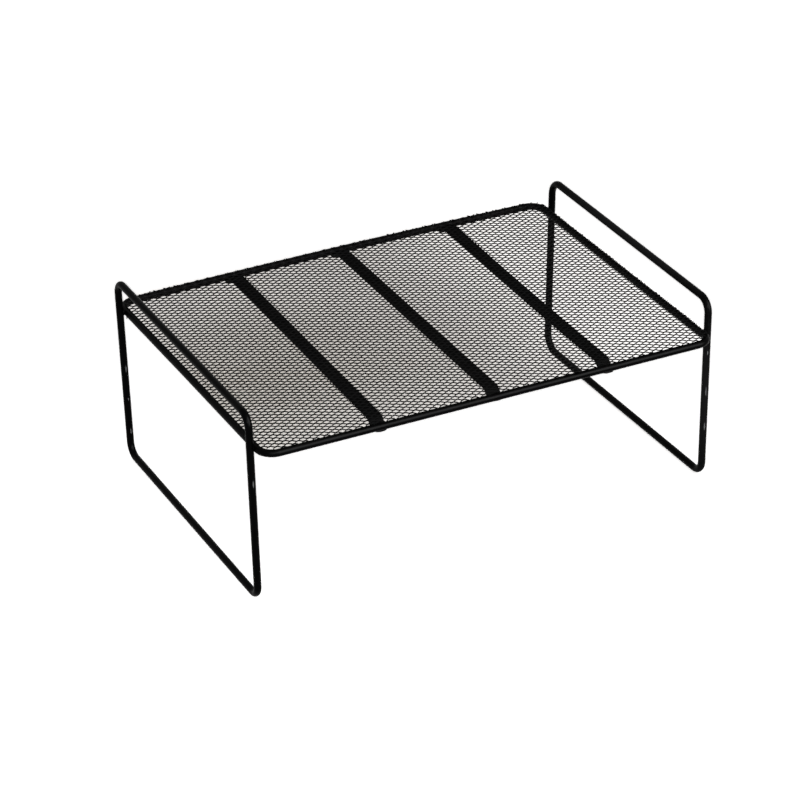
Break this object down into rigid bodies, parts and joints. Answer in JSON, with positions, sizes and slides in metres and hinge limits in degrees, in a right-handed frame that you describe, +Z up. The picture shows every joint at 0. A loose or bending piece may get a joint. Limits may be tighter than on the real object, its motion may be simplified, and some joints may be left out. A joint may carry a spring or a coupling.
{
  "type": "cabinet shelf",
  "caption": "Free-standing wire cabinet shelf: a flat expanded-mesh deck in a bent rod frame on upright end loops that rise above the deck as side rails.",
  "frame": {"origin": "on the floor, under the middle of the deck", "axes": "+X along the shelf from the left loop to the right loop, -Y to the front, +Z up"},
  "size_m": [0.4188, 0.3, 0.17],
  "materials": {
    "coated_rod": "satin black powder coat on round steel rod",
    "coated_mesh": "black powder coat on expanded steel mesh",
    "coated_strap": "satin black powder coat on flat steel strap",
    "coated_weld": "black powder coat over a weld bead"
  },
  "bodies": {
    "root": {"deck_frame": "coated_rod", "mesh_panel": "coated_mesh", "strap_left": "coated_strap", "strap_centre": "coated_strap", "strap_right": "coated_strap", "end_loop_left": "coated_rod", "end_loop_right": "coated_rod", "weld_front_left": "coated_weld", "weld_back_left": "coated_weld", "weld_front_right": "coated_weld", "weld_back_right": "coated_weld"}
  },
  "joints": []
}
